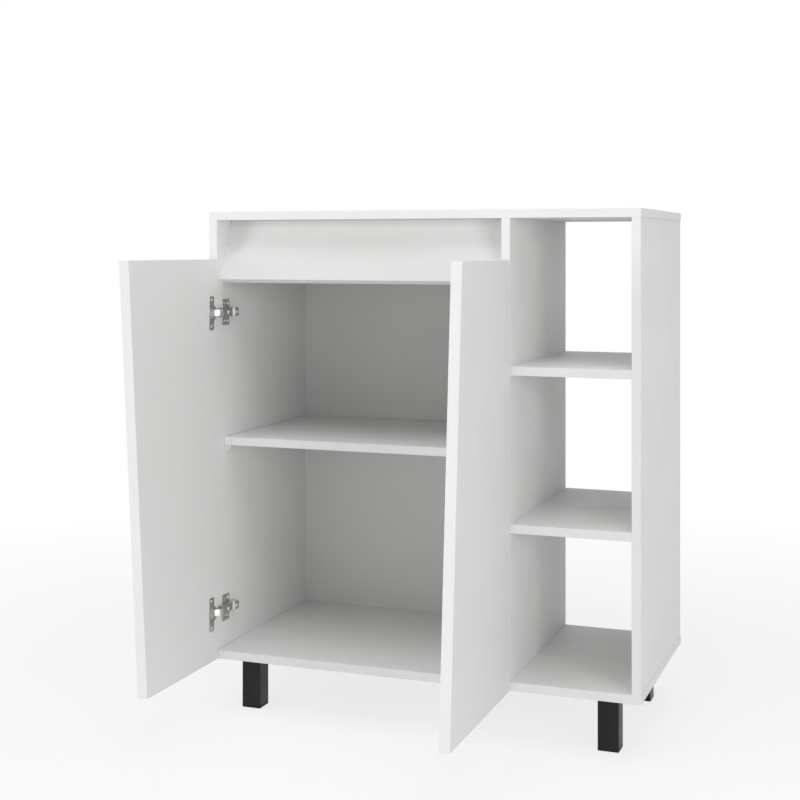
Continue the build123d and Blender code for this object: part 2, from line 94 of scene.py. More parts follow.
class NodeGraph:
    """A node tree, with short ways to add to it."""

    def __init__(self, tree: NodeTree) -> None:
        """Start from a tree."""
        self.tree = tree

    def add(self, kind: str, values: Values | None = None, **settings: object) -> Node:
        """Add a node.

        Args:
            kind: The node's type.
            values: Inputs by name or index: values, sockets to link from or lists of sockets.
            settings: The node's own properties.

        Returns:
            The node.
        """
        node = self.tree.nodes.new(kind)
        for key, value in settings.items():
            setattr(node, key, value)
        for key, value in (values or {}).items():
            for source in value if isinstance(value, list) else [value]:
                self.feed(node.inputs[key], source)
        return node

    def out(self, kind: str, values: Values | None = None, **settings: object) -> NodeSocket:
        """Add a node and give its first output."""
        return self.add(kind, values, **settings).outputs[0]

    def feed(self, socket: NodeSocket, value: object) -> None:
        """Link a socket, or set its value."""
        if isinstance(value, NodeSocket):
            self.tree.links.new(value, socket)
        else:
            socket.default_value = value

    def math(self, operation: str, *terms: object) -> NodeSocket:
        """Add a Math node on sockets and numbers."""
        return self.out("ShaderNodeMath", dict(enumerate(terms)), operation=operation)

    def shown(self) -> NodeSocket:
        """Tell rays that show a surface from rays that light one.

        Returns:
            1 on camera, glossy and transmission rays.
        """
        path = self.add("ShaderNodeLightPath").outputs
        seen = self.math("MAXIMUM", path["Is Camera Ray"], path["Is Glossy Ray"])
        return self.math("MAXIMUM", seen, path["Is Transmission Ray"])

    def blend(self, outlet: str, share: NodeSocket, first: Node, second: Node) -> None:
        """Send a mix of two shaders, the first at share 0, to an output node."""
        mix = self.out("ShaderNodeMixShader", {0: share, 1: first.outputs[0], 2: second.outputs[0]})
        self.feed(self.tree.nodes[outlet].inputs["Surface"], mix)


class ShaderGraph(NodeGraph):
    """A material's nodes on Object coordinates, around its Principled shader."""

    def __init__(self, name: str) -> None:
        """Start a material.

        Args:
            name: Name of the material.
        """
        self.material = bpy.data.materials.new(name)
        self.material.use_nodes = True
        super().__init__(self.material.node_tree)
        self.shader = self.tree.nodes["Principled BSDF"]
        self.place = self.add("ShaderNodeTexCoord").outputs["Object"]

    def dress(self, values: Values) -> None:
        """Set or link inputs of the Principled shader by name."""
        for key, value in values.items():
            self.feed(self.shader.inputs[key], value)

    def noise(self, scale: float, detail: float = 2.0, stretch: Spot = (1.0, 1.0, 1.0)) -> NodeSocket:
        """Add noise in the object's own space.

        Args:
            scale: Features per metre.
            detail: Octaves.
            stretch: Scale on each axis, to draw the noise out along one.

        Returns:
            The noise, about 0.25 to 0.75.
        """
        mapping = self.out("ShaderNodeMapping", {"Vector": self.place, "Scale": stretch})
        return self.out("ShaderNodeTexNoise", {"Vector": mapping, "Scale": scale, "Detail": detail})

    def spread(self, source: NodeSocket, low: float, high: float,
               start: float = 0.3, end: float = 0.7) -> NodeSocket:
        """Map a source from start..end to low..high, clamped."""
        values = {"Value": source, "From Min": start, "From Max": end, "To Min": low, "To Max": high}
        return self.out("ShaderNodeMapRange", values)

    def tint(self, factor: object, first: Sequence[float], second: object) -> NodeSocket:
        """Mix two colours, the first at factor 0."""
        ends = [end if isinstance(end, NodeSocket) else (*end, 1.0) for end in (first, second)]
        return self.add("ShaderNodeMix", {0: factor, 6: ends[0], 7: ends[1]}, data_type="RGBA").outputs[2]

    def relief(self, height: NodeSocket, depth: float, arris: float = 0.0) -> None:
        """Give the shader a fine relief and softened arrises.

        Args:
            height: Height of the relief, 0 to 1.
            depth: Depth of the relief in metres.
            arris: Radius of the softened arrises in metres, 0 for none.
        """
        bump = {"Height": height, "Distance": depth, "Strength": 1.0}
        if arris:
            bump["Normal"] = self.out("ShaderNodeBevel", {"Radius": arris}, samples=6)
        self.dress({"Normal": self.out("ShaderNodeBump", bump)})


@dataclass(frozen=True)
class EdgeLine:
    """One straight edge of a board: the way out of the board across it, and how far out it lies."""

    way: Vector
    reach: float


@dataclass(frozen=True)
class Melamine:
    """White melamine on board: a fine pebbled satin face, and edge bands with a hairline joint."""

    colour: Colour = (0.82, 0.82, 0.815)
    shade: Colour = (0.79, 0.79, 0.78)
    shade_share: float = 0.5
    cloud: float = 7.0
    gloss: Flat = (0.50, 0.62)
    handled: float = 30 * MM
    smudge: float = 40.0
    smudge_matt: float = 0.12
    pebble: float = 900.0
    pebble_depth: float = 0.02 * MM
    band: float = 0.8 * MM
    seam: float = 0.07 * MM
    seam_colour: Colour = (0.55, 0.545, 0.53)
    seam_share: float = 0.7
    arris: float = 0.7 * MM

    def material(self, board: str) -> Material:
        """Make the finish of one board, with bands along its edges.

        Args:
            board: Name of the board.

        Returns:
            The material.
        """
        graph = ShaderGraph(board + "_melamine")
        inset = None
        for edge in board_edges(board):
            across = graph.add("ShaderNodeVectorMath", {0: graph.place, 1: edge.way}, operation="DOT_PRODUCT")
            gap = graph.math("SUBTRACT", edge.reach, across.outputs["Value"])
            inset = gap if inset is None else graph.math("MINIMUM", inset, gap)
        seam = graph.math("COMPARE", inset, self.band, self.seam)
        handled = graph.spread(inset, 1.0, 0.0, 0.0, self.handled)
        cloud = graph.noise(self.cloud, detail=4.0)
        tone = graph.tint(graph.spread(cloud, 0.0, self.shade_share), self.colour, self.shade)
        smudge = graph.math("MULTIPLY", handled, graph.noise(self.smudge, detail=3.0))
        worn = graph.math("MULTIPLY_ADD", smudge, self.smudge_matt, graph.spread(cloud, *self.gloss))
        line = graph.math("MULTIPLY", seam, self.seam_share)
        graph.dress({"Base Color": graph.tint(line, tone, self.seam_colour), "Roughness": worn})
        graph.relief(graph.noise(self.pebble, detail=1.0), self.pebble_depth, self.arris)
        return graph.material


@dataclass(frozen=True)
class Hardboard:
    """Thin back panel: a white lacquered front layer on brown pressed fibre."""

    lacquer: Colour = (0.80, 0.80, 0.79)
    fibre: Colour = (0.30, 0.185, 0.095)
    fibre_dark: Colour = (0.19, 0.11, 0.055)
    layer: float = 0.3 * MM
    strand: float = 260.0
    strand_stretch: Spot = (1.0, 1.0, 0.35)
    strand_depth: float = 0.05 * MM
    cloud: float = 9.0
    gloss: Flat = (0.36, 0.46)
    raw_matt: float = 0.42

    def material(self, name: str, front: float) -> Material:
        """Make the finish.

        Args:
            name: Name of the material.
            front: Y of the panel's white face.

        Returns:
            The material.
        """
        graph = ShaderGraph(name)
        depth = graph.add("ShaderNodeSeparateXYZ", {"Vector": graph.place}).outputs["Y"]
        raw = graph.math("GREATER_THAN", depth, front + self.layer)
        strands = graph.noise(self.strand, 5.0, self.strand_stretch)
        brown = graph.tint(graph.spread(strands, 0.0, 1.0), self.fibre_dark, self.fibre)
        lacquer_gloss = graph.spread(graph.noise(self.cloud), *self.gloss)
        matt = graph.math("MULTIPLY_ADD", raw, self.raw_matt, lacquer_gloss)
        graph.dress({"Base Color": graph.tint(raw, self.lacquer, brown), "Roughness": matt})
        graph.relief(strands, self.strand_depth)
        return graph.material


@dataclass(frozen=True)
class MouldedPlastic:
    """Moulded plastic with a fine spark-eroded grain and softened edges."""

    colour: Colour
    scuffed: Colour
    gloss: Flat
    sheen: float = 0.5
    cloud: float = 24.0
    scuffs: Flat = (0.45, 0.8)
    grain: float = 1600.0
    grain_depth: float = 0.03 * MM
    arris: float = 0.8 * MM

    def material(self, name: str) -> Material:
        """Make the finish under a name."""
        graph = ShaderGraph(name)
        cloud = graph.noise(self.cloud, detail=4.0)
        tone = graph.tint(graph.spread(cloud, 0.0, 1.0, *self.scuffs), self.colour, self.scuffed)
        gloss = graph.spread(cloud, *self.gloss)
        graph.dress({"Base Color": tone, "Roughness": gloss, "Specular IOR Level": self.sheen})
        graph.relief(graph.noise(self.grain, detail=1.0), self.grain_depth, self.arris)
        return graph.material


@dataclass(frozen=True)
class PlatedSteel:
    """Plated sheet steel: a drawn grain and a slightly clouded shine."""

    colour: Colour
    clouded: Colour
    gloss: Flat
    cloud: float = 140.0
    draw: float = 1500.0
    draw_stretch: Spot = (1.0, 0.06, 1.0)
    draw_depth: float = 0.004 * MM
    arris: float = 0.0

    def material(self, name: str) -> Material:
        """Make the finish under a name."""
        graph = ShaderGraph(name)
        cloud = graph.noise(self.cloud, detail=3.0)
        tone = graph.tint(graph.spread(cloud, 0.0, 1.0), self.colour, self.clouded)
        graph.dress({"Base Color": tone, "Metallic": 1.0, "Roughness": graph.spread(cloud, *self.gloss)})
        graph.relief(graph.noise(self.draw, 1.0, self.draw_stretch), self.draw_depth, self.arris)
        return graph.material


@dataclass(frozen=True)
class Beech:
    """Turned beech of the dowels, with flecks along the grain."""

    colour: Colour = (0.56, 0.36, 0.20)
    fleck: Colour = (0.38, 0.21, 0.10)
    gloss: Flat = (0.5, 0.7)
    grain: float = 700.0
    grain_stretch: Spot = (0.12, 1.0, 1.0)
    grain_depth: float = 0.03 * MM

    def material(self, name: str) -> Material:
        """Make the finish under a name."""
        graph = ShaderGraph(name)
        grain = graph.noise(self.grain, 4.0, self.grain_stretch)
        tone = graph.tint(graph.spread(grain, 0.0, 1.0), self.colour, self.fleck)
        graph.dress({"Base Color": tone, "Roughness": graph.spread(grain, *self.gloss)})
        graph.relief(grain, self.grain_depth)
        return graph.material


NICKEL = PlatedSteel((0.66, 0.655, 0.64), (0.60, 0.595, 0.58), (0.12, 0.20), arris=0.25 * MM)
SATIN_NICKEL = PlatedSteel((0.95, 0.95, 0.94), (0.90, 0.90, 0.89), (0.44, 0.56))
SCREW_NICKEL = PlatedSteel((0.74, 0.735, 0.72), (0.62, 0.615, 0.60), (0.26, 0.40), arris=0.2 * MM)
ZINC = PlatedSteel((0.68, 0.69, 0.71), (0.55, 0.56, 0.58), (0.26, 0.40), arris=0.2 * MM)
BLACK_PLASTIC = MouldedPlastic((0.010, 0.010, 0.010), (0.016, 0.016, 0.016), (0.34, 0.46), sheen=0.22)
BLACK_PAD = MouldedPlastic((0.010, 0.010, 0.010), (0.024, 0.023, 0.022), (0.60, 0.80), sheen=0.2)
WHITE_PLASTIC = MouldedPlastic((0.80, 0.80, 0.79), (0.74, 0.74, 0.72), (0.28, 0.40))


def broad_way(facings: Iterable[tuple[Vector, float]]) -> Vector:
    """Find the way that the largest flat area faces, front and rear counted together.

    Args:
        facings: The normal and area of each face.

    Returns:
        A unit vector, along or against that way.
    """
    areas: defaultdict[tuple, float] = defaultdict(float)
    ways: dict[tuple, Vector] = {}
    for normal, area in facings:
        sign = math.copysign(1.0, normal.dot(SKEW))
        key = tuple(round(value * sign, 2) for value in normal)
        areas[key] += area
        ways.setdefault(key, normal.copy())
    return ways[max(areas, key=areas.get)].normalized()


def board_edges(node: str, shortest: float = 20 * MM) -> list[EdgeLine]:
    """Find the straight edges round a board's broad face.

    Args:
        node: Name of the board.
        shortest: Runs under this belong to rounded corners, not to straight edges.

    Returns:
        The edges, one for each way.
    """
    mesh = bpy.data.objects[node].data
    way = broad_way((face.normal, face.area) for face in mesh.polygons)
    across = way.orthogonal().normalized()
    along = way.cross(across)
    flat = [Vector((vertex.co.dot(across), vertex.co.dot(along))) for vertex in mesh.vertices]
    hull = [flat[index] for index in convex_hull_2d(flat)]
    middle = sum(hull, Vector((0.0, 0.0))) / len(hull)
    edges: list[EdgeLine] = []
    for start, end in zip(hull, hull[1:] + hull[:1]):
        run = end - start
        if run.length < shortest:
            continue
        out = Vector((run.y, -run.x)).normalized()
        if out.dot(start - middle) < 0:
            out.negate()
        side = across * out.x + along * out.y
        if all(side.dot(edge.way) < SAME_WAY for edge in edges):
            edges.append(EdgeLine(side, out.dot(start)))
    return edges


def paint(node: str, material: Material) -> None:
    """Give a CAD node its material."""
    slots = bpy.data.objects[node].data.materials
    slots.clear()
    slots.append(material)
    LOG.info("finish %s on %s", material.name, node)


def soften(mesh: Mesh, crease: float = 35.0) -> None:
    """Shade a mesh smooth, apart from its edges sharper than an angle.

    Args:
        mesh: The mesh.
        crease: The angle, in degrees.
    """
    cells = bmesh.new()
    cells.from_mesh(mesh)
    for edge in cells.edges:
        edge.smooth = len(edge.link_faces) == 2 and edge.calc_face_angle() < math.radians(crease)
    for face in cells.faces:
        face.smooth = True
    cells.to_mesh(mesh)
    cells.free()


def placed(name: str, data: ID) -> Object:
    """Put an object with its data into the scene."""
    item = bpy.data.objects.new(name, data)
    bpy.context.collection.objects.link(item)
    return item


def add_piece(name: str, mesh: Mesh, body: Body, nodes: Iterable[str]) -> None:
    """Add a finished piece to the scene and to its body.

    Args:
        name: Name of the piece.
        mesh: Its mesh, already in place.
        body: The body that carries it.
        nodes: The CAD nodes that it stands for.
    """
    piece = placed(name, mesh)
    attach(piece, body.value)
    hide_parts(*nodes)
    LOG.info("piece %s, %d faces, on %s", name, len(mesh.polygons), body.value)


def evaluated_mesh(source: Object) -> Mesh:
    """Bake an object with its modifiers to a plain mesh, and remove the object.

    Args:
        source: A curve or mesh object in the scene.

    Returns:
        The mesh.
    """
    graph = bpy.context.evaluated_depsgraph_get()
    mesh = bpy.data.meshes.new_from_object(source.evaluated_get(graph))
    bpy.data.objects.remove(source)
    return mesh


def arc(middle: Flat, radius: float, start: float, end: float, steps: int) -> list[Flat]:
    """Lay points along an arc.

    Args:
        middle: Its centre.
        radius: Its radius.
        start: Angle of the first point, in degrees.
        end: Angle of the last point.
        steps: Number of runs.

    Returns:
        The points.
    """
    turns = [math.radians(start + (end - start) * step / steps) for step in range(steps + 1)]
    return [(middle[0] + radius * math.cos(turn), middle[1] + radius * math.sin(turn)) for turn in turns]


def circle(middle: Flat, radius: float, steps: int) -> list[Flat]:
    """Lay points round a circle."""
    return arc(middle, radius, 0, 360 - 360 / steps, steps - 1)


def filleted(path: Sequence[Flat], radii: Sequence[float], steps: int = 6) -> list[Flat]:
    """Round the inner corners of an open path.

    Args:
        path: Its corners.
        radii: The radius at each inner corner.
        steps: Runs in each arc.

    Returns:
        The points of the rounded path.
    """
    spots = [Vector(spot) for spot in path]
    points = [path[0]]
    for before, corner, after, radius in zip(spots, spots[1:], spots[2:], radii):
        back, ahead = [(spot - corner).normalized() for spot in (before, after)]
        half = back.angle(ahead) / 2
        middle = corner + (back + ahead).normalized() * radius / math.sin(half)
        start, end = [corner + way * radius / math.tan(half) - middle for way in (back, ahead)]
        first = math.degrees(math.atan2(start.y, start.x))
        turn = math.degrees(start.angle_signed(end))
        points += arc(tuple(middle), radius, first, first - turn, steps)
    return points + [path[-1]]


def rounded_rectangle(low: Flat, high: Flat, radius: float, steps: int = 5) -> list[Flat]:
    """Outline a rectangle with round corners.

    Args:
        low: Its lowest corner.
        high: Its highest corner.
        radius: Radius of the corners.
        steps: Runs in each corner.

    Returns:
        The outline, counter-clockwise from the highest corner.
    """
    left, bottom = low[0] + radius, low[1] + radius
    right, top = high[0] - radius, high[1] - radius
    outline: list[Flat] = []
    for quarter, middle in enumerate([(right, top), (left, top), (left, bottom), (right, bottom)]):
        outline += arc(middle, radius, 90 * quarter, 90 * quarter + 90, steps)
    return outline


def pressed_sheet(outlines: Sequence[Sequence[Flat]], base: float, gauge: float, edge: float) -> Mesh:
    """Make a flat pressing with rounded edges, which lies in the second and third axes.

    Args:
        outlines: The outline and its holes.
        base: Where its underside lies on the first axis.
        gauge: Its thickness.
        edge: Radius of its rounded edges.

    Returns:
        The mesh, as (into, forward, up).
    """
    curve = bpy.data.curves.new("pressing", "CURVE")
    curve.dimensions = "2D"
    curve.fill_mode = "BOTH"
    for outline in outlines:
        spline = curve.splines.new("POLY")
        spline.points.add(len(outline) - 1)
        for point, spot in zip(spline.points, outline):
            point.co = (*spot, 0.0, 1.0)
        spline.use_cyclic_u = True
    curve.offset = -edge
    curve.extrude = gauge / 2 - edge
    curve.bevel_depth = edge
    curve.bevel_resolution = 2
    mesh = evaluated_mesh(placed("pressing", curve))
    mesh.transform(Matrix(((0, 0, 1, base + gauge / 2), (1, 0, 0, 0), (0, 1, 0, 0), (0, 0, 0, 1))))
    return mesh


def skinned(rows: Iterable[Sequence[Spot]]) -> bmesh.types.BMesh:
    """Span faces between rows of spots.

    Args:
        rows: Spots across the skin, row after row along it.

    Returns:
        The cells.
    """
    cells = bmesh.new()
    lines = [[cells.verts.new(spot) for spot in row] for row in rows]
    for start, end in zip(lines, lines[1:]):
        for near, far, end_near, end_far in zip(start, start[1:], end, end[1:]):
            cells.faces.new((near, far, end_far, end_near))
    return cells


def sealed(cells: bmesh.types.BMesh, name: str) -> Mesh:
    """Turn cells into a mesh with their faces outwards, and free them."""
    mesh = bpy.data.meshes.new(name)
    bmesh.ops.recalc_face_normals(cells, faces=cells.faces)
    cells.to_mesh(mesh)
    cells.free()
    return mesh


def joined(meshes: Sequence[Mesh], name: str) -> Mesh:
    """Join meshes, with doubles merged and faces turned outwards.

    Args:
        meshes: The meshes, which are removed. Each is dressed with the finish of its number.
        name: Name of the result.

    Returns:
        The mesh.
    """
    cells = bmesh.new()
    for number, mesh in enumerate(meshes):
        first = len(cells.faces)
        cells.from_mesh(mesh)
        cells.faces.ensure_lookup_table()
        for face in cells.faces[first:]:
            face.material_index = number
        bpy.data.meshes.remove(mesh)
    bmesh.ops.remove_doubles(cells, verts=cells.verts, dist=MERGE)
    return sealed(cells, name)


@dataclass(frozen=True)
class Seat:
    """Where a fastener's head lies: the middle of its top, and the way it faces."""

    top: Vector
    way: Vector


def fastener_seats(node: str) -> list[Seat]:
    """Find the heads of a node's separate fasteners.

    Args:
        node: Name of the CAD node.

    Returns:
        A seat for each fastener, facing out of the end with the head. One as wide at both ends is a cam,
        which faces the rear, the floor or along X: away from the left panel, and to the left elsewhere.
    """
    cells = bmesh.new()
    cells.from_mesh(bpy.data.objects[node].data)
    bmesh.ops.remove_doubles(cells, verts=cells.verts, dist=MERGE)
    left = set(cells.verts)
    seats = []
    while left:
        island = {left.pop()}
        border = set(island)
        while border:
            near = {link.other_vert(vertex) for vertex in border for link in vertex.link_edges} - island
            island |= near
            border = near
        left -= island
        points = [vertex.co for vertex in cells.verts if vertex in island]
        seats.append(island_seat(points, [face for face in cells.faces if face.verts[0] in island]))
    cells.free()
    return sorted(seats, key=lambda seat: tuple(seat.top))


def island_seat(points: Sequence[Vector], faces: Iterable[bmesh.types.BMFace]) -> Seat:
    """Find the head of one fastener.

    Args:
        points: Its points.
        faces: Its faces.

    Returns:
        Its seat.
    """
    way = broad_way((face.normal, face.calc_area()) for face in faces)
    across = way.orthogonal().normalized()
    along = way.cross(across)
    levels = [point.dot(way) for point in points]
    ends = []
    for level in (max(levels), min(levels)):
        rim = [point for point, spot in zip(points, levels) if abs(spot - level) < LEVEL_PLAY]
        spans = [[point.dot(axis) for point in rim] for axis in (across, along)]
        middles = [(max(span) + min(span)) / 2 for span in spans]
        ends.append((across * middles[0] + along * middles[1] + way * level, max(spans[0]) - min(spans[0])))
    (top, width), (foot, foot_width) = ends
    turned = foot_width > width
    if abs(foot_width - width) < WIDTH_PLAY:
        turned = way.dot(Vector((1.0 if top.x < LEFT_PANEL_X else -1.0, 1.0, -1.0))) < 0
    return Seat(foot, -way) if turned else Seat(top, way)


@dataclass
class FastenerRow:
    """Like fasteners on one body, set by a Geometry Nodes tree on their seats."""

    name: str
    node: str
    body: Body
    slot: Slot
    drive: Drive
    finish: PlatedSteel
    head: float
    head_height: float
    shank: float
    shank_length: float
    recess: float
    slot_width: float = 1.1 * MM
    slot_depth: float = 1.2 * MM
    crown: float = 0.8
    segments: int = 24
    seed: int = 11
    sizes: ClassVar[tuple[str, ...]] = (
        "head", "head_height", "shank", "shank_length", "recess", "slot_width", "slot_depth", "crown")

    def build(self) -> None:
        """Set the fasteners, bake them to a mesh and put it in the CAD node's place."""
        seats = fastener_seats(self.node)
        mesh = bpy.data.meshes.new(self.name + "_seats")
        mesh.from_pydata([seat.top for seat in seats], [], [])
        ways = mesh.attributes.new("way", "FLOAT_VECTOR", "POINT")
        for item, seat in zip(ways.data, seats):
            item.vector = seat.way
        carrier = placed(self.name + "_seats", mesh)
        tree = self.tree()
        modifier = carrier.modifiers.new("fasteners", "NODES")
        modifier.node_group = tree
        ports = {item.name: item.identifier for item in tree.interface.items_tree if item.in_out == "INPUT"}
        for size in self.sizes:
            modifier[ports[size]] = getattr(self, size)
        modifier[ports["seed"]] = self.seed
        modifier[ports["finish"]] = self.finish.material(self.name + "_finish")
        baked = evaluated_mesh(carrier)
        baked.name = self.name
        soften(baked)
        add_piece(self.name, baked, self.body, [self.node])

    def tree(self) -> GeometryNodeTree:
        """Build the tree that makes one fastener and sets it on every seat.

        Returns:
            The tree.
        """
        tree = bpy.data.node_groups.new(self.name, "GeometryNodeTree")
        sizes = [(size, "Float") for size in self.sizes]
        for name, kind in [("seats", "Geometry"), *sizes, ("seed", "Int"), ("finish", "Material")]:
            tree.interface.new_socket(name, in_out="INPUT", socket_type="NodeSocket" + kind)
        tree.interface.new_socket("fasteners", in_out="OUTPUT", socket_type="NodeSocketGeometry")
        nodes = FastenerGraph(tree)
        body = nodes.body(self.segments)
        if self.drive is Drive.CROSS:
            body = nodes.cut(body, [nodes.slot_bar(0.0), nodes.slot_bar(math.pi / 2)])
        elif self.drive is Drive.HEXAGON:
            body = nodes.cut(body, [nodes.hexagon()])
        nodes.set_on_seats(body)
        return tree


class FastenerGraph(NodeGraph):
    """The nodes of a fastener's tree. The head's top is at the origin and faces up."""

    shank_top: float = 0.7
    hexagon_reach: float = 0.577

    def __init__(self, tree: GeometryNodeTree) -> None:
        """Start from a tree that has its sockets."""
        super().__init__(tree)
        self.inlet = self.add("NodeGroupInput").outputs

    def moved(self, shape: NodeSocket, height: object, spin: float = 0.0) -> NodeSocket:
        """Lift a shape to a height and turn it about its axis."""
        place = self.out("ShaderNodeCombineXYZ", {"Z": height})
        values = {"Geometry": shape, "Translation": place, "Rotation": (0.0, 0.0, spin)}
        return self.out("GeometryNodeTransform", values)

    def body(self, segments: int) -> NodeSocket:
        """Make the head, which narrows to its crown, and the shank below it.

        Args:
            segments: Corners of the round.

        Returns:
            The shape.
        """
        inlet = self.inlet
        crown = self.math("MULTIPLY", inlet["head"], inlet["crown"])
        values = {"Vertices": segments, "Radius Top": crown, "Radius Bottom": inlet["head"],
                  "Depth": inlet["head_height"]}
        head = self.out("GeometryNodeMeshCone", values)
        head = self.moved(head, self.math("MULTIPLY", inlet["head_height"], -1.0))
        values = {"Vertices": segments, "Radius": inlet["shank"], "Depth": inlet["shank_length"]}
        shank = self.out("GeometryNodeMeshCylinder", values)
        start = self.math("MULTIPLY", inlet["head_height"], -self.shank_top)
        drop = self.math("MULTIPLY_ADD", inlet["shank_length"], -0.5, start)
        joint = {"Mesh 2": [head, self.moved(shank, drop)]}
        return self.out("GeometryNodeMeshBoolean", joint, operation="UNION", solver="EXACT")

    def slot_bar(self, spin: float) -> NodeSocket:
        """Make one bar of a cross recess, turned by an angle in radians."""
        inlet = self.inlet
        depth = self.math("MULTIPLY", inlet["slot_depth"], 2.0)
        size = self.out("ShaderNodeCombineXYZ", {"X": inlet["recess"], "Y": inlet["slot_width"], "Z": depth})
        return self.moved(self.out("GeometryNodeMeshCube", {"Size": size}), 0.0, spin)

    def hexagon(self) -> NodeSocket:
        """Make a hexagon recess."""
        inlet = self.inlet
        values = {"Vertices": 6, "Radius": self.math("MULTIPLY", inlet["recess"], self.hexagon_reach),
                  "Depth": self.math("MULTIPLY", inlet["slot_depth"], 2.0)}
        return self.out("GeometryNodeMeshCylinder", values)

    def cut(self, body: NodeSocket, tools: list[NodeSocket]) -> NodeSocket:
        """Cut tools out of a body."""
        values = {"Mesh 1": body, "Mesh 2": tools}
        return self.out("GeometryNodeMeshBoolean", values, operation="DIFFERENCE", solver="EXACT")

    def set_on_seats(self, body: NodeSocket) -> None:
        """Set the fastener on every seat, each at its own turn, and close the tree.

        Args:
            body: The fastener.
        """
        inlet = self.inlet
        way = self.add("GeometryNodeInputNamedAttribute", {"Name": "way"}, data_type="FLOAT_VECTOR")
        facing = self.out("FunctionNodeAlignRotationToVector", {"Vector": way.outputs["Attribute"]}, axis="Z")
        values = {"Points": inlet["seats"], "Instance": body, "Rotation": facing}
        rows = self.out("GeometryNodeInstanceOnPoints", values)
        values = {2: 0.0, 3: math.pi, "Seed": inlet["seed"]}
        turn = self.add("FunctionNodeRandomValue", values, data_type="FLOAT").outputs[1]
        spin = self.out("ShaderNodeCombineXYZ", {"Z": turn})
        rows = self.out("GeometryNodeRotateInstances", {"Instances": rows, "Rotation": spin})
        plain = self.out("GeometryNodeRealizeInstances", {"Geometry": rows})
        dressed = self.out("GeometryNodeSetMaterial", {"Geometry": plain, "Material": inlet["finish"]})
        self.add("NodeGroupOutput", {"fasteners": dressed})


@dataclass
class Carcass:
    """The fixed boards, the back panel and the shelf supports."""

    boards: tuple[str, ...] = (
        "top_board", "bottom_board", "left_side_panel", "right_side_panel", "divider_panel",
        "niche_shelf_upper", "niche_shelf_lower", "sloped_fascia", "adjustable_shelf")
    back: str = "back_panel"
    finish: Melamine = Melamine()

    def dress(self) -> None:
        """Give every board its finish, with bands on its own edges."""
        for board in self.boards:
            paint(board, self.finish.material(board))
        paint(self.back, Hardboard().material("back_panel_hardboard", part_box(self.back)[0].y))
        paint("shelf_supports", WHITE_PLASTIC.material("shelf_support_plastic"))
        paint("wood_dowels", Beech().material("dowel_beech"))
        paint("cam_bolts", ZINC.material("cam_bolt_zinc"))


@dataclass
class Doors:
    """The two doors with slanted meeting edges."""

    names: tuple[str, ...] = ("left_door", "right_door")
    finish: Melamine = Melamine()

    def dress(self) -> None:
        """Give both doors their finish, with bands on all four edges."""
        for door in self.names:
            paint(door, self.finish.material(door))


@dataclass
class Legs:
    """Four square plastic legs, with screws inside and pads below."""

    names: tuple[str, ...] = ("front_left_leg", "front_right_leg", "rear_left_leg", "rear_right_leg")

    def dress(self) -> None:
        """Give the legs, their pads and their screws their finishes."""
        black = BLACK_PLASTIC.material("leg_plastic")
        for leg in self.names:
            paint(leg, black)
        paint("foot_caps", BLACK_PAD.material("foot_pad_plastic"))
        paint("leg_screws", ZINC.material("leg_screw_zinc"))


